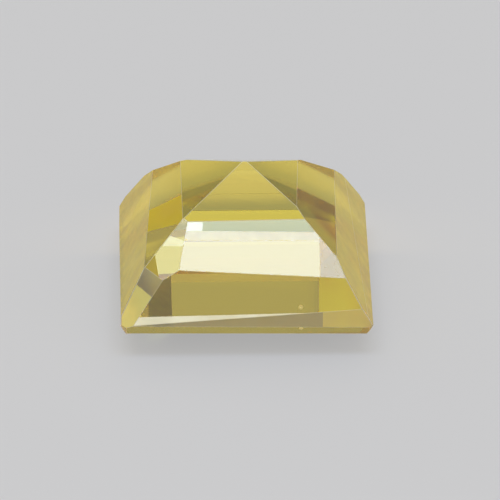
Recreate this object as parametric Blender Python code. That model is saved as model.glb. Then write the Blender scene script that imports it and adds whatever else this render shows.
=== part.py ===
"""A small yellow sapphire in a square step cut, lying on its table with its pavilion up.

Metres, +Z up. The table lies on z = 0, the origin is the middle of the stone's footprint,
the stone's front is -Y and its right is +X.

The stone is cut as a real one is. A rough block is ground back to one facet after another,
and each facet is a flat plane given by the way it faces, its tilt, and how far from the
stone's axis it passes a known height. The stone is hand cut, so no two sides are alike.
"""

from math import cos, radians, sin
from typing import NamedTuple

import bmesh
import bpy
from mathutils import Vector

MM = 0.001

# The rough block, which is a little larger than the finished stone
ROUGH_WIDTH = 5.0 * MM
ROUGH_HEIGHT = 3.0 * MM

# Heights above the table at which the facets' reaches are measured
TABLE = 0.0
CROWN_TOP = 0.63 * MM
GIRDLE = 0.71 * MM
STEP_2_FOOT = 1.61 * MM
STEP_3_FOOT = 2.06 * MM

# The way each side faces, in degrees round from the front
FRONT = 0.0
RIGHT = 90.0
BACK = 180.0
LEFT = 270.0

# Points closer than this are one point
WELD = 0.00001 * MM


class Facet(NamedTuple):
    """One flat face of the stone."""

    faces: float    # degrees round from the front, growing towards the right
    tilt: float     # degrees from the table's plane: 90 is upright, more faces down
    reach: float    # from the stone's axis to the facet, level, at the height below
    height: float


# The girdle is a thin band. It tapers along the front, and its right side leans in
GIRDLE_FACETS = (
    Facet(FRONT + 0.6, 87.0, 2.05 * MM, GIRDLE),
    Facet(RIGHT + 0.5, 62.0, 2.00 * MM, CROWN_TOP),
    Facet(BACK, 90.0, 2.03 * MM, GIRDLE),
    Facet(LEFT, 90.0, 1.99 * MM, GIRDLE),
)

# Three steps a side, of about 60, 42 and 26 degrees, which meet in a ridge at the culet
PAVILION_FACETS = (
    Facet(FRONT - 1.3, 61.0, 2.10 * MM, GIRDLE),
    Facet(RIGHT, 59.0, 1.98 * MM, GIRDLE),
    Facet(BACK, 59.5, 2.08 * MM, GIRDLE),
    Facet(LEFT - 1.3, 61.0, 1.975 * MM, GIRDLE),
    Facet(FRONT, 41.0, 1.49 * MM, STEP_2_FOOT),
    Facet(RIGHT + 0.5, 40.5, 1.42 * MM, STEP_2_FOOT),
    Facet(BACK, 42.0, 1.405 * MM, STEP_2_FOOT),
    Facet(LEFT + 0.5, 44.0, 1.43 * MM, STEP_2_FOOT),
    Facet(FRONT - 0.5, 25.5, 0.925 * MM, STEP_3_FOOT),
    Facet(RIGHT + 2.0, 27.0, 0.925 * MM, STEP_3_FOOT),
    Facet(BACK - 1.5, 27.0, 0.90 * MM, STEP_3_FOOT),
    Facet(LEFT + 0.5, 26.5, 0.93 * MM, STEP_3_FOOT),
)

# Two more facets take off the pavilion's front left corner
CORNER_FACETS = (
    Facet(LEFT + 62.0, 50.5, 2.655 * MM, GIRDLE),
    Facet(LEFT + 68.0, 40.5, 1.765 * MM, STEP_2_FOOT),
)

# Three steps a side under the girdle: a steep one measured at its top, and two shallow ones
# measured where they would meet the table's plane
CROWN_FACETS = (
    Facet(FRONT, 117.0, 2.055 * MM, CROWN_TOP + 0.02 * MM),
    Facet(RIGHT + 0.5, 117.0, 2.00 * MM, CROWN_TOP),
    Facet(BACK, 120.0, 2.03 * MM, CROWN_TOP + 0.02 * MM),
    Facet(LEFT, 117.0, 1.99 * MM, CROWN_TOP),
    Facet(FRONT - 1.0, 150.5, 1.12 * MM, TABLE),
    Facet(RIGHT, 142.0, 1.365 * MM, TABLE),
    Facet(BACK, 146.0, 1.29 * MM, TABLE),
    Facet(LEFT, 145.0, 1.27 * MM, TABLE),
    Facet(FRONT - 1.0, 153.5, 1.07 * MM, TABLE),
    Facet(RIGHT, 153.0, 1.21 * MM, TABLE),
    Facet(BACK, 152.0, 1.23 * MM, TABLE),
    Facet(LEFT, 154.0, 1.155 * MM, TABLE),
)

# Sapphire's yellow and its polish
SAPPHIRE_COLOUR = (0.83, 0.66, 0.12, 1.0)
SAPPHIRE_ROUGHNESS = 0.03
SAPPHIRE_IOR = 1.77


def outward(facet):
    """The way a facet faces, as a unit vector."""
    around = radians(facet.faces)
    lean = radians(facet.tilt)
    return Vector((sin(around) * sin(lean), -cos(around) * sin(lean), cos(lean)))


def point_on(facet):
    """The point at which a facet passes its height, straight out from the axis."""
    around = radians(facet.faces)
    return Vector((sin(around) * facet.reach, -cos(around) * facet.reach, facet.height))


def rough_block():
    """A closed block that stands on the table's plane."""
    block = bmesh.new()
    bmesh.ops.create_cube(block, size=1.0)
    bmesh.ops.translate(block, verts=block.verts, vec=(0.0, 0.0, 0.5))
    bmesh.ops.scale(block, verts=block.verts, vec=(ROUGH_WIDTH, ROUGH_WIDTH, ROUGH_HEIGHT))
    return block


def grind(stone, facet):
    """Take away all that lies outside one facet, and close the stone with that facet."""
    everything = stone.verts[:] + stone.edges[:] + stone.faces[:]
    cut = bmesh.ops.bisect_plane(
        stone,
        geom=everything,
        dist=WELD,
        plane_co=point_on(facet),
        plane_no=outward(facet),
        clear_outer=True,
    )
    rim = [item for item in cut["geom_cut"] if isinstance(item, bmesh.types.BMEdge)]
    bmesh.ops.holes_fill(stone, edges=rim)


def centre(stone):
    """Bring the middle of the stone's footprint to the origin."""
    xs = [vertex.co.x for vertex in stone.verts]
    ys = [vertex.co.y for vertex in stone.verts]
    middle = Vector((min(xs) + max(xs), min(ys) + max(ys), 0.0)) / 2.0
    bmesh.ops.translate(stone, verts=stone.verts, vec=-middle)


def sapphire_material():
    """Clear yellow crystal."""
    material = bpy.data.materials.new("Yellow sapphire")
    material.use_nodes = True
    shader = material.node_tree.nodes["Principled BSDF"]
    shader.inputs["Base Color"].default_value = SAPPHIRE_COLOUR
    shader.inputs["Metallic"].default_value = 0.0
    shader.inputs["Roughness"].default_value = SAPPHIRE_ROUGHNESS
    shader.inputs["IOR"].default_value = SAPPHIRE_IOR
    shader.inputs["Transmission Weight"].default_value = 1.0
    return material


def yellow_sapphire():
    """The whole stone, as one closed solid."""
    stone = rough_block()
    for facet in GIRDLE_FACETS + PAVILION_FACETS + CORNER_FACETS + CROWN_FACETS:
        grind(stone, facet)
    centre(stone)
    bmesh.ops.recalc_face_normals(stone, faces=stone.faces)
    mesh = bpy.data.meshes.new("yellow_sapphire")
    stone.to_mesh(mesh)
    stone.free()
    mesh.materials.append(sapphire_material())
    gem = bpy.data.objects.new("yellow_sapphire", mesh)
    bpy.context.scene.collection.objects.link(gem)
    return gem


def main():
    for item in list(bpy.data.objects):
        bpy.data.objects.remove(item, do_unlink=True)
    yellow_sapphire()


main()
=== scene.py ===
"""The looks of the yellow sapphire: its worn and polished crystal, with painted light and painted shade
on some of its facets, on a pale studio floor that glows with painted light.
"""

from math import atan2, cos, degrees, pi, radians, sin, tan
from typing import NamedTuple

import bmesh
import bpy
from mathutils import Matrix, Vector, noise


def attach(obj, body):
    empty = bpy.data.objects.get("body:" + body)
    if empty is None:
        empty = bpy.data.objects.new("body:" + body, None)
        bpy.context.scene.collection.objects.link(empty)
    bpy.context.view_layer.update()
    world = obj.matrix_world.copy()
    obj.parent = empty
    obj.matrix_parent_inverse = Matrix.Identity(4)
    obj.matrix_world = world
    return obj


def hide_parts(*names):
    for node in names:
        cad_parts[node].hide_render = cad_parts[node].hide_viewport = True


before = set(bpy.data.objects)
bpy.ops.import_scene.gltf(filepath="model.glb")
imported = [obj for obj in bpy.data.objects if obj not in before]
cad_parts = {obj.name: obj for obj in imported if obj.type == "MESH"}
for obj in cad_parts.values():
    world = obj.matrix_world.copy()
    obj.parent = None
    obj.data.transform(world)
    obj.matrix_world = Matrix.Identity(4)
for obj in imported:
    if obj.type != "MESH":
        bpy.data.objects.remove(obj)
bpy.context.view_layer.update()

MM = 0.001

# The photo is 500 pixels across and shows this much at the stone
FRAME_PX = 500
FRAME_WIDTH = 8.0 * MM
PX = FRAME_WIDTH / FRAME_PX

# Where the camera stands: how far up and how far round from the stone's front, in degrees
CAMERA_ELEVATION = 29.0
CAMERA_AZIMUTH = -1.0
CAMERA_DISTANCE = 200.0 * MM
CAMERA_NEAREST = 1.0 * MM
CAMERA_FARTHEST = 4000.0 * MM
SENSOR = 36.0
# The middle of the girdle's plane, and the pixel it shows at
GIRDLE_MIDDLE = Vector((-0.048, -0.040, 0.712)) * MM
GIRDLE_MIDDLE_PIXEL = (242.1, 262.4)


def direction(azimuth, elevation):
    """A unit vector: azimuth 0 is towards the front, 90 to the right; elevation is above level."""
    around = radians(azimuth)
    up = radians(elevation)
    return Vector((sin(around) * cos(up), -cos(around) * cos(up), sin(up)))


def make_camera():
    """The camera that sees the stone as the photo does."""
    back = direction(CAMERA_AZIMUTH, CAMERA_ELEVATION)
    right = Vector((0.0, 0.0, 1.0)).cross(back).normalized()
    up = back.cross(right)
    across = (FRAME_PX / 2 - GIRDLE_MIDDLE_PIXEL[0]) * PX
    rise = (GIRDLE_MIDDLE_PIXEL[1] - FRAME_PX / 2) * PX
    aim = GIRDLE_MIDDLE + right * across + up * rise
    data = bpy.data.cameras.new("camera")
    data.sensor_width = SENSOR
    data.lens = SENSOR * CAMERA_DISTANCE / FRAME_WIDTH
    data.clip_start = CAMERA_NEAREST
    data.clip_end = CAMERA_FARTHEST
    camera = bpy.data.objects.new("camera", data)
    bpy.context.scene.collection.objects.link(camera)
    axes = Matrix((right, up, back)).transposed()
    camera.matrix_world = Matrix.Translation(aim + back * CAMERA_DISTANCE) @ axes.to_4x4()
    bpy.context.scene.camera = camera


WHITE = (1.0, 1.0, 1.0)
LAMP_DISTANCE = 250.0 * MM
# Light that has come through the crystal
CAST_COLOUR = (1.0, 0.8, 0.35)
# The top lamp is cool
LAMP_COLOUR = (0.45, 0.617, 1.0)
STUDIO_COLOUR = (0.33, 0.32, 0.305, 1.0)
CARD_COLOUR = (0.2, 0.2, 0.2, 1.0)


def face(thing, place, away):
    """Put a lamp or a card at a place, turned with its back to the given direction."""
    right = Vector((0.0, 0.0, 1.0)).cross(away).normalized()
    up = away.cross(right)
    axes = Matrix((right, up, away)).transposed()
    thing.matrix_world = Matrix.Translation(place) @ axes.to_4x4()


def width_of(angle):
    """The width of a thing at the lamps' distance that the stone sees at this angle."""
    return 2.0 * LAMP_DISTANCE * tan(radians(angle / 2.0))


def area_lamp(name, across, tall, radiance, colour=WHITE):
    """A soft lamp of a given size in metres and a given brightness."""
    data = bpy.data.lights.new(name, "AREA")
    data.shape = "RECTANGLE"
    data.size = across
    data.size_y = tall
    data.energy = radiance * pi * across * tall
    data.color = colour
    lamp = bpy.data.objects.new(name, data)
    bpy.context.scene.collection.objects.link(lamp)
    return lamp


def softbox(name, azimuth, elevation, across, tall, radiance, colour=WHITE):
    """A lamp that faces the stone from far off, with its size in degrees."""
    lamp = area_lamp(name, width_of(across), width_of(tall), radiance, colour)
    away = direction(azimuth, elevation)
    face(lamp, away * LAMP_DISTANCE, away)


def near_lamp(name, place, towards, across, tall, radiance, colour):
    """A small lamp close by that doesn't show in the stone. Its places and sizes are in millimetres."""
    lamp = area_lamp(name, across * MM, tall * MM, radiance, colour)
    place = Vector(place) * MM
    face(lamp, place, (place - Vector(towards) * MM).normalized())
    lamp.visible_glossy = False
    lamp.visible_transmission = False
    lamp.visible_camera = False


def flag(azimuth, elevation, across, tall):
    """A dark card that faces the stone from far off, with its size in degrees."""
    away = direction(azimuth, elevation)
    bpy.ops.mesh.primitive_plane_add(size=1.0)
    card = bpy.context.object
    card.name = "flag"
    face(card, away * LAMP_DISTANCE, away)
    card.data.transform(Matrix.Diagonal((width_of(across), width_of(tall), 1.0, 1.0)))
    material = bpy.data.materials.new("dark card")
    material.use_nodes = True
    shader = material.node_tree.nodes["Principled BSDF"]
    shader.inputs["Base Color"].default_value = CARD_COLOUR
    shader.inputs["Roughness"].default_value = 1.0
    shader.inputs["Specular IOR Level"].default_value = 0.0
    card.data.materials.append(material)


def light_studio():
    """Soft panels all round, two brighter lamps above, a dark card, and a warm lamp at the floor."""
    # Each panel's way round and height, its width and its tallness, all in degrees, and its brightness
    softbox("back panel", 178.0, 52.0, 44.0, 22.0, 0.34)
    softbox("back right panel", 158.0, 44.0, 9.0, 12.0, 0.1)
    softbox("back left panel", 228.0, 17.0, 18.0, 36.0, 0.16)
    softbox("front panel", 6.0, 27.0, 96.0, 48.0, 0.55)
    softbox("front low panel", 4.0, 11.0, 60.0, 14.0, 0.2)
    softbox("right panel", 50.0, 26.0, 44.0, 44.0, 0.1)
    softbox("main panel", -8.0, 64.0, 38.0, 24.0, 1.0)
    softbox("top lamp", 2.0, 67.5, 36.0, 12.0, 6.1, LAMP_COLOUR)
    softbox("side lamp", 304.0, 64.0, 9.0, 10.0, 2.6)
    flag(130.0, 16.0, 26.0, 50.0)
    near_lamp("floor lamp", (0.0, 2.5, 1.1), (0.0, 1.5, 0.0), 2.8, 0.3, 6.6, CAST_COLOUR)
    world = bpy.data.worlds.new("studio")
    world.use_nodes = True
    world.node_tree.nodes["Background"].inputs["Color"].default_value = STUDIO_COLOUR
    bpy.context.scene.world = world


# How often light may turn inside the stone, and from one matt surface to another
CRYSTAL_BOUNCES = 32
DIFFUSE_BOUNCES = 4


def set_render():
    """Let light go its whole way through the crystal."""
    scene = bpy.context.scene
    scene.view_settings.view_transform = "Standard"
    cycles = scene.cycles
    cycles.max_bounces = CRYSTAL_BOUNCES
    cycles.glossy_bounces = CRYSTAL_BOUNCES
    cycles.transmission_bounces = CRYSTAL_BOUNCES
    cycles.diffuse_bounces = DIFFUSE_BOUNCES
    cycles.blur_glossy = 0.0
    cycles.caustics_refractive = False


FLOOR_SIZE = 2000.0 * MM
# The floor lies this far under the table, so that the two don't share a plane
FLOOR_DROP = 0.005 * MM
FLOOR_COLOUR = (0.35, 0.335, 0.312, 1.0)
# The floor's painted glow where something stands close over it, dimmer there as a painted shadow, and in
# the open
FLOOR_GLOW = (0.36, 0.37)
CLOSE_OVER = 0.4 * MM


def floor_material():
    """Pale grey paper that glows with painted light to fill the shadow, and glows less under the stone,
    a painted shadow.
    """
    material = bpy.data.materials.new("pale floor")
    material.use_nodes = True
    nodes = material.node_tree.nodes
    links = material.node_tree.links
    shader = nodes["Principled BSDF"]
    shader.inputs["Base Color"].default_value = FLOOR_COLOUR
    shader.inputs["Roughness"].default_value = 1.0
    shader.inputs["Specular IOR Level"].default_value = 0.0
    # The floor glows though it is no lamp: painted fill light, dimmed where the stone stands close over
    # it as a painted shadow.
    shader.inputs["Emission Color"].default_value = (1.0, 1.0, 1.0, 1.0)
    painted_shadow_mask = nodes.new("ShaderNodeAmbientOcclusion")
    painted_shadow_mask.inputs["Distance"].default_value = CLOSE_OVER
    fill = nodes.new("ShaderNodeMapRange")
    fill.inputs["To Min"].default_value = FLOOR_GLOW[0]
    fill.inputs["To Max"].default_value = FLOOR_GLOW[1]
    links.new(painted_shadow_mask.outputs["AO"], fill.inputs["Value"])
    links.new(fill.outputs["Result"], shader.inputs["Emission Strength"])
    return material


def make_floor():
    """The floor that the stone lies on, which glows with painted light."""
    bpy.ops.mesh.primitive_plane_add(size=FLOOR_SIZE, location=(0.0, 0.0, -FLOOR_DROP))
    floor = bpy.context.object
    floor.name = "floor"
    floor.data.materials.append(floor_material())


class Finish(NamedTuple):
    """A kind of surface: how rough it is, how much light it lets in, its tint, and its shine."""

    roughness: float
    clearness: float
    tint: tuple
    shine: float = 0.5


FINISHES = {
    "polished": Finish(0.0, 1.0, WHITE),
    "soft": Finish(0.07, 1.0, WHITE),
    "hazy": Finish(0.2, 0.42, (1.0, 0.82, 0.2), 0.0),
    "dulled": Finish(0.04, 0.95, (0.65, 0.75, 0.8)),
    # Painted shade: a dark tint that darkens the left crown's flattest facet.
    "painted_shade_dim": Finish(0.3, 0.15, (0.6, 0.75, 0.3), 0.0),
    # Painted shade and painted light: a greyer and a paler tint for the two parts of the lower corner
    # facet.
    "painted_shade_grey": Finish(0.3, 0.7, (0.6, 0.56, 0.4), 0.0),
    "painted_light_pale": Finish(0.28, 0.35, (1.0, 0.88, 0.28), 0.0),
    # Painted light: a golden tint on the right end of the front's lowest step.
    "painted_golden_light": Finish(0.35, 0.8, (1.0, 0.92, 0.1), 0.0),
    # Painted light: misty and cloudy tints that brighten the front's middle step below the strip.
    "painted_light_misty": Finish(0.05, 0.45, (1.0, 0.87, 0.22)),
    "painted_light_cloudy": Finish(0.05, 0.72, (1.0, 0.8, 0.24), 0.0),
    "blurred": Finish(0.18, 0.88, (1.0, 0.88, 0.2), 0.0),
    # Painted shade and painted light: deep and olive tints that darken zones on the sides, and an amber
    # tint that lights one.
    "painted_shade_deep": Finish(0.15, 1.0, (0.45, 0.48, 0.12)),
    "painted_shade_olive": Finish(0.15, 1.0, (0.72, 0.75, 0.25)),
    "painted_light_amber": Finish(0.3, 0.5, (1.0, 0.77, 0.02), 0.0),
    # Painted shade: a dark tint on part of the upper corner facet.
    "painted_shade": Finish(0.3, 0.3, (0.6, 0.45, 0.06), 0.0),
    # A scratched strip whose darker tint is also painted shade.
    "scratched_with_shade": Finish(0.3, 0.55, (0.62, 0.7, 0.3)),
    "rim": Finish(0.7, 1.0, WHITE),
    "matt": Finish(0.3, 0.9, (1.0, 0.95, 0.8)),
    "smoothed": Finish(0.28, 0.75, (1.0, 0.95, 0.45), 0.0),
    "worn": Finish(0.35, 0.65, (1.0, 1.0, 0.85)),
    "frosted": Finish(0.6, 0.05, (1.0, 0.92, 0.6)),
    # Painted highlight: pale, nearly opaque patches that stand for white glints.
    "painted_highlight": Finish(0.05, 0.1, (1.0, 0.97, 0.5)),
    # Ground girdle whose darker grey tint is painted shade.
    "ground_with_shade": Finish(0.35, 0.6, (0.5, 0.47, 0.3)),
}
KINDS = list(FINISHES)

SAPPHIRE_IOR = 1.768
# What the crystal takes away per metre of red, green and blue
ABSORPTION = (2.0, 42.0, 500.0)
# How many patches of wear there are to a metre, how fine they are, and the least and most they wear
PATCHES = 3000.0
PATCH_DETAIL = 2.0
PATCH_WEAR = (0.85, 1.1)
# The noise that makes the patches lies mostly between these
PATCH_NOISE = (0.35, 0.65)


def face_value(nodes, name):
    """A node that gives a value the stone's faces carry."""
    value = nodes.new("ShaderNodeAttribute")
    value.attribute_name = name
    return value


def wear_patches(nodes, links):
    """A node that gives the share of a face's dull part, worn or painted with light and shade, which is
    uneven from patch to patch.
    """
    place = nodes.new("ShaderNodeTexCoord")
    patches = nodes.new("ShaderNodeTexNoise")
    patches.inputs["Scale"].default_value = PATCHES
    patches.inputs["Detail"].default_value = PATCH_DETAIL
    links.new(place.outputs["Object"], patches.inputs["Vector"])
    share = nodes.new("ShaderNodeMapRange")
    share.inputs["From Min"].default_value = PATCH_NOISE[0]
    share.inputs["From Max"].default_value = PATCH_NOISE[1]
    share.inputs["To Min"].default_value = PATCH_WEAR[0]
    share.inputs["To Max"].default_value = PATCH_WEAR[1]
    links.new(patches.outputs["Fac"], share.inputs["Value"])
    return share


def sapphire_material():
    """Clear yellow crystal, as rough, worn, tinted and shiny as each of its faces says; on some faces
    the tint and the dull share are painted light and painted shade.
    """
    material = bpy.data.materials.new("sapphire")
    material.use_nodes = True
    nodes = material.node_tree.nodes
    links = material.node_tree.links
    shader = nodes["Principled BSDF"]
    shader.inputs["IOR"].default_value = SAPPHIRE_IOR
    roughness = face_value(nodes, "roughness")
    links.new(roughness.outputs["Fac"], shader.inputs["Roughness"])
    shine = face_value(nodes, "shine")
    links.new(shine.outputs["Fac"], shader.inputs["Specular IOR Level"])
    # Some faces' tints and dull shares are painted light and painted shade.
    tint = face_value(nodes, "tint")
    links.new(tint.outputs["Vector"], shader.inputs["Base Color"])
    share = wear_patches(nodes, links)
    dullness = face_value(nodes, "dullness")
    dulling = nodes.new("ShaderNodeMath")
    dulling.operation = "MULTIPLY"
    links.new(dullness.outputs["Fac"], dulling.inputs[0])
    links.new(share.outputs["Result"], dulling.inputs[1])
    clearness = nodes.new("ShaderNodeMath")
    clearness.operation = "SUBTRACT"
    clearness.use_clamp = True
    clearness.inputs[0].default_value = 1.0
    links.new(dulling.outputs["Value"], clearness.inputs[1])
    links.new(clearness.outputs["Value"], shader.inputs["Transmission Weight"])
    volume = nodes.new("ShaderNodeVolumeAbsorption")
    density = max(ABSORPTION)
    volume.inputs["Density"].default_value = density
    volume.inputs["Color"].default_value = tuple(1.0 - k / density for k in ABSORPTION) + (1.0,)
    links.new(volume.outputs["Volume"], nodes["Material Output"].inputs["Volume"])
    return material


# The stone's sides
FRONT, RIGHT, BACK, LEFT = range(4)

# The tilts, in degrees from facing up, that tell the rows of facets apart
TOP_STEP_BELOW = 30.0
LOW_STEP_ABOVE = 57.0
GIRDLE_TILTS = (85.0, 95.0)
CROWN_RIM_TILTS = (110.0, 125.0)
CROWN_TOP_ABOVE = 152.0
# The normals of the two corner facets have an x below this
CORNER_TURN = -0.2


def tilt_of(facet):
    """How far a facet leans from facing up, in degrees."""
    return degrees(facet.normal.angle(Vector((0.0, 0.0, 1.0))))


def side_of(facet):
    """The side a facet is on."""
    around = degrees(atan2(facet.normal.x, -facet.normal.y)) % 360.0
    return round(around / 90.0) % 4


def surface_of(facet):
    """The kind of surface a facet has."""
    tilt = tilt_of(facet)
    side = side_of(facet)
    if side == FRONT and facet.normal.x < CORNER_TURN and tilt < LOW_STEP_ABOVE:
        return "dulled"
    if GIRDLE_TILTS[0] < tilt < GIRDLE_TILTS[1]:
        return "rim" if side == BACK else "matt"
    # The left crown's flattest facet gets painted shade.
    if side == LEFT and tilt > CROWN_TOP_ABOVE:
        return "painted_shade_dim"
    if CROWN_RIM_TILTS[0] < tilt < CROWN_RIM_TILTS[1]:
        return "hazy" if side in (RIGHT, LEFT) else "soft"
    if side in (RIGHT, LEFT) and tilt < GIRDLE_TILTS[0]:
        return "hazy" if tilt > LOW_STEP_ABOVE else "blurred"
    return "polished"


# The facets that carry areas of their own, by the way each faces and its tilt, in degrees
FRONT_GIRDLE = (0.6, 87.0)
FRONT_LOW_STEP = (-1.3, 61.0)
FRONT_MIDDLE_STEP = (0.0, 41.0)
CORNER_LOW_STEP = (-28.0, 50.5)
CORNER_MIDDLE_STEP = (-22.0, 40.5)
RIGHT_MIDDLE_STEP = (90.5, 40.5)
RIGHT_TOP_STEP = (92.0, 27.0)
LEFT_MIDDLE_STEP = (-89.5, 44.0)
LEFT_TOP_STEP = (-89.5, 26.5)


def line(start, end):
    """A straight line across a facet, through two points in millimetres."""
    return Vector(start) * MM, Vector(end) * MM


# The upper edge of the frosted wedge on the front's lowest step
WEDGE_EDGE = line((-1.696, -1.984, 0.814), (0.912, -2.011, 0.874))
# That step's right end has painted golden light from here on
GOLDEN_EDGE = line((1.146, -1.792, 1.278), (1.139, -1.977, 0.944))
# The front of the girdle is left ground, with painted shade in its grey tint, as far as here towards the
# right
GROUND_END = line((1.2, -2.05, 0.9), (1.2, -2.05, 0.5))
# The scratched strip, darkened with painted shade, along the top of the front's middle step: its lower
# edge, and its left end, which holds a painted highlight
STRIP_FOOT = line((-0.697, -1.139, 1.897), (1.014, -1.160, 1.879))
STRIP_END = line((-0.687, -1.017, 2.003), (-0.697, -1.139, 1.897))
# Below the strip, that step's right end has cloudy painted light from here on, and the rest has misty
# painted light down to here
CLOUD_EDGE = line((1.163, -1.305, 1.753), (1.156, -1.675, 1.431))
MIST_FOOT = line((-0.739, -1.263, 1.790), (1.171, -1.275, 1.779))
# The painted highlight on the upper corner facet, a pale patch between an upper and a lower edge
PATCH_TOP = line((-1.183, -1.150, 1.817), (-0.993, -1.244, 1.803))
PATCH_FOOT = line((-1.280, -1.261, 1.698), (-1.090, -1.308, 1.722))
# Below the patch, that facet has painted shade to the left of this line
SHADE_EDGE = line((-1.449, -1.369, 1.558), (-1.405, -1.609, 1.382))
# The lower corner facet has greyer painted shade above this line, and paler painted light below it
CORNER_LINE = line((-1.716, -1.640, 1.184), (-1.527, -1.819, 1.099))
# A zone of deeper painted shade crosses the right side's upper two steps, below the first two lines
ZONE_TOP_HIGH = line((0.442, -0.209, 2.303), (0.809, -0.206, 2.116))
ZONE_TOP_LOW = line((0.875, -0.095, 2.064), (1.426, 0.225, 1.591))
ZONE_FOOT = line((0.988, -0.860, 1.974), (1.398, -0.374, 1.620))
# A zone of olive painted shade lies below the first line on the left's top step, beside one of amber
# painted light on its middle
OLIVE_TOP = line((-0.977, -0.109, 2.043), (-0.404, -0.240, 2.328))
AMBER_TOP = line((-1.485, 0.193, 1.572), (-1.057, -0.130, 1.983))
AMBER_FOOT = line((-1.525, -0.454, 1.528), (-1.101, -0.966, 1.933))

# Points nearer than this to a line lie on it
ON_LINE = 0.00001 * MM


def facet_facing(stone, azimuth, tilt):
    """The facet that faces most nearly that way."""
    return max(stone.faces, key=lambda facet: facet.normal.dot(direction(azimuth, 90.0 - tilt)))


def split(stone, facet, start, end):
    """Split a facet along a line, and give the part on its right and the part on its left."""
    rightwards = (end - start).cross(facet.normal)
    cut = bmesh.ops.bisect_plane(
        stone,
        geom=[facet] + facet.edges[:] + facet.verts[:],
        dist=ON_LINE,
        plane_co=start,
        plane_no=rightwards,
    )
    parts = [item for item in cut["geom"] if isinstance(item, bmesh.types.BMFace)]
    parts.sort(key=lambda part: (part.calc_center_median() - start).dot(rightwards))
    return parts[-1], parts[0]


def finish(facet, kind):
    """Give a facet a kind of surface."""
    facet.material_index = KINDS.index(kind)


def mark_front(stone):
    """The frosted wedge and the end with painted golden light, the girdle's ground part with painted
    shade, and the scratched strip with painted shade, its painted highlight at one end and the painted
    light under it.
    """
    wedge, above = split(stone, facet_facing(stone, *FRONT_LOW_STEP), *WEDGE_EDGE)
    finish(wedge, "frosted")
    _, painted_golden_light = split(stone, above, *GOLDEN_EDGE)
    finish(painted_golden_light, "painted_golden_light")
    ground_with_shade, smoothed = split(stone, facet_facing(stone, *FRONT_GIRDLE), *GROUND_END)
    finish(ground_with_shade, "ground_with_shade")
    finish(smoothed, "smoothed")
    below, strip = split(stone, facet_facing(stone, *FRONT_MIDDLE_STEP), *STRIP_FOOT)
    below, painted_light_cloudy = split(stone, below, *CLOUD_EDGE)
    finish(painted_light_cloudy, "painted_light_cloudy")
    _, painted_light_misty = split(stone, below, *MIST_FOOT)
    finish(painted_light_misty, "painted_light_misty")
    painted_highlight, strip = split(stone, strip, *STRIP_END)
    finish(painted_highlight, "painted_highlight")
    finish(strip, "scratched_with_shade")


def mark_upper_corner(stone):
    """The painted highlight and the painted shade of the upper corner facet."""
    lower, _ = split(stone, facet_facing(stone, *CORNER_MIDDLE_STEP), *PATCH_TOP)
    lowest, patch = split(stone, lower, *PATCH_FOOT)
    finish(patch, "painted_highlight")
    painted_shade, _ = split(stone, lowest, *SHADE_EDGE)
    finish(painted_shade, "painted_shade")


def mark_sides(stone):
    """The zones of painted shade and painted amber light on the upper steps of the two sides."""
    zone, _ = split(stone, facet_facing(stone, *RIGHT_TOP_STEP), *ZONE_TOP_HIGH)
    finish(zone, "painted_shade_deep")
    below, _ = split(stone, facet_facing(stone, *RIGHT_MIDDLE_STEP), *ZONE_TOP_LOW)
    _, zone = split(stone, below, *ZONE_FOOT)
    finish(zone, "painted_shade_deep")
    zone, _ = split(stone, facet_facing(stone, *LEFT_TOP_STEP), *OLIVE_TOP)
    finish(zone, "painted_shade_olive")
    below, _ = split(stone, facet_facing(stone, *LEFT_MIDDLE_STEP), *AMBER_TOP)
    _, zone = split(stone, below, *AMBER_FOOT)
    finish(zone, "painted_light_amber")


def mark_lower_corner(stone):
    """The greyer painted shade and the paler painted light on the lower corner facet."""
    paler, greyer = split(stone, facet_facing(stone, *CORNER_LOW_STEP), *CORNER_LINE)
    finish(paler, "painted_light_pale")
    finish(greyer, "painted_shade_grey")


# How wide the blunting of the worn edges is, and each kind of edge's share of it
WIDEST_WEAR = 0.016 * MM
EDGE_WEAR = 0.22
FRONT_HIP_WEAR = 0.45
CORNER_WEAR = 0.8
RIDGE_WEAR = 0.8
# How many narrow faces round a worn edge off
WEAR_STRIPS = 2
# The share goes up and down by this much, so many times to the metre
WEAR_UNEVENNESS = 0.25
WEAR_CHANGES = 1300.0
# Faces that meet at less than this, in degrees, are parts of one facet
ONE_FACET = 1.5
# The stone's upright corners run between facets with tilts in this range
CORNER_TILTS = (48.0, 125.0)


def share_of_wear(sides, tilts):
    """How worn an edge is, from the sides and the tilts of the facets that meet there."""
    lowest = min(tilts)
    highest = max(tilts)
    if len(sides) == 2 and highest < TOP_STEP_BELOW and FRONT not in sides:
        return RIDGE_WEAR
    if len(sides) == 2 and CORNER_TILTS[0] < lowest and highest < CORNER_TILTS[1]:
        return CORNER_WEAR
    if sides in ({FRONT, RIGHT}, {FRONT, LEFT}) or (sides == {FRONT} and lowest < TOP_STEP_BELOW):
        return FRONT_HIP_WEAR
    return EDGE_WEAR


def wear_edges(stone):
    """Give every real edge its share of wear, uneven from edge to edge."""
    share = stone.edges.layers.float.new("bevel_weight_edge")
    for edge in stone.edges:
        if edge.calc_face_angle(0.0) < radians(ONE_FACET):
            continue
        amount = share_of_wear(
            {side_of(facet) for facet in edge.link_faces},
            [tilt_of(facet) for facet in edge.link_faces],
        )
        middle = (edge.verts[0].co + edge.verts[1].co) / 2.0
        edge[share] = amount * (1.0 + WEAR_UNEVENNESS * noise.noise(middle * WEAR_CHANGES))


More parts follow.
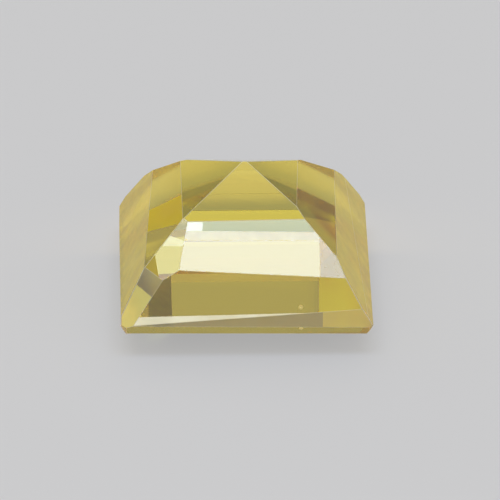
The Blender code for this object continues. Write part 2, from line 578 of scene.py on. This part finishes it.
def worn(stone):
    """The mesh of a stone with its edges blunted by their share of wear."""
    mesh = bpy.data.meshes.new("sharp stone")
    stone.to_mesh(mesh)
    stone.free()
    # A face's kind of surface is the number of its material, so each kind has a material here
    for kind in KINDS:
        mesh.materials.append(bpy.data.materials.new(kind))
    sharp = bpy.data.objects.new("sharp stone", mesh)
    bpy.context.scene.collection.objects.link(sharp)
    bevel = sharp.modifiers.new("dullness", "BEVEL")
    bevel.limit_method = "WEIGHT"
    bevel.width = WIDEST_WEAR
    bevel.segments = WEAR_STRIPS
    bevel.material = KINDS.index("worn")
    bevel.use_clamp_overlap = False
    blunted = sharp.evaluated_get(bpy.context.evaluated_depsgraph_get())
    result = bpy.data.meshes.new_from_object(blunted)
    result.name = "sapphire"
    bpy.data.objects.remove(sharp, do_unlink=True)
    return result


# Chips off the stone's corners: the way each one's break faces, and a point on it
CHIPS = (
    (Vector((-0.62, -0.66, -0.42)), Vector((-1.965, -2.0, 0.66)) * MM),
    (Vector((0.6, -0.7, -0.38)), Vector((1.965, -2.02, 0.66)) * MM),
)
# Points nearer than this to a break lie on it
ON_BREAK = 0.000001 * MM


def chip(mesh):
    """Break the small chips off, and leave a matt face behind each."""
    stone = bmesh.new()
    stone.from_mesh(mesh)
    for away, place in CHIPS:
        cut = bmesh.ops.bisect_plane(
            stone,
            geom=stone.verts[:] + stone.edges[:] + stone.faces[:],
            dist=ON_BREAK,
            plane_co=place,
            plane_no=away,
            clear_outer=True,
        )
        rim = [item for item in cut["geom_cut"] if isinstance(item, bmesh.types.BMEdge)]
        for broken in bmesh.ops.holes_fill(stone, edges=rim)["faces"]:
            finish(broken, "matt")
    stone.to_mesh(mesh)
    stone.free()


# Points closer than this are one point, and faces flatter than this, in degrees, are one face
WELD = 0.0001 * MM
FLAT = 1.2


def facets_of(mesh):
    """A stone of whole facets, from a mesh of triangles."""
    stone = bmesh.new()
    stone.from_mesh(mesh)
    bmesh.ops.remove_doubles(stone, verts=stone.verts, dist=WELD)
    bmesh.ops.dissolve_limit(
        stone, angle_limit=radians(FLAT), verts=stone.verts, edges=stone.edges
    )
    bmesh.ops.recalc_face_normals(stone, faces=stone.faces)
    return stone


def write_finishes(mesh):
    """Write each face's finish into the mesh, for the material to read."""
    finishes = [FINISHES[KINDS[polygon.material_index]] for polygon in mesh.polygons]
    roughness = mesh.attributes.new("roughness", "FLOAT", "FACE")
    roughness.data.foreach_set("value", [each.roughness for each in finishes])
    dullness = mesh.attributes.new("dullness", "FLOAT", "FACE")
    dullness.data.foreach_set("value", [1.0 - each.clearness for each in finishes])
    shine = mesh.attributes.new("shine", "FLOAT", "FACE")
    shine.data.foreach_set("value", [each.shine for each in finishes])
    tint = mesh.attributes.new("tint", "FLOAT_VECTOR", "FACE")
    tint.data.foreach_set("vector", [part for each in finishes for part in each.tint])


def make_sapphire():
    """The stone, in place of the CAD one."""
    stone = facets_of(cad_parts["yellow_sapphire"].data)
    for facet in stone.faces:
        finish(facet, surface_of(facet))
    mark_front(stone)
    mark_upper_corner(stone)
    mark_sides(stone)
    mark_lower_corner(stone)
    wear_edges(stone)
    mesh = worn(stone)
    chip(mesh)
    write_finishes(mesh)
    mesh.materials.clear()
    mesh.materials.append(sapphire_material())
    piece = bpy.data.objects.new("sapphire", mesh)
    bpy.context.scene.collection.objects.link(piece)
    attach(piece, "root")
    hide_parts("yellow_sapphire")


# The speck inside the stone, which glows with painted light
INCLUSION = Vector((0.865, -1.30, 0.589)) * MM
INCLUSION_RADIUS = 0.035 * MM
INCLUSION_SUBDIVISIONS = 3
INCLUSION_COLOUR = (0.66, 0.58, 0.25, 1.0)
INCLUSION_PAINTED_GLOW = 0.6


def make_inclusion():
    """A speck of cloudy crystal inside the stone, near its front, that glows with painted light."""
    bpy.ops.mesh.primitive_ico_sphere_add(
        subdivisions=INCLUSION_SUBDIVISIONS, radius=INCLUSION_RADIUS, location=INCLUSION
    )
    speck = bpy.context.object
    speck.name = "inclusion"
    material = bpy.data.materials.new("inclusion")
    material.use_nodes = True
    shader = material.node_tree.nodes["Principled BSDF"]
    shader.inputs["Base Color"].default_value = INCLUSION_COLOUR
    shader.inputs["Roughness"].default_value = 1.0
    # The speck glows though it is no lamp: painted light that makes it show as a light dot.
    shader.inputs["Emission Color"].default_value = INCLUSION_COLOUR
    shader.inputs["Emission Strength"].default_value = INCLUSION_PAINTED_GLOW
    speck.data.materials.append(material)
    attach(speck, "root")


make_camera()
set_render()
light_studio()
make_floor()
make_sapphire()
make_inclusion()
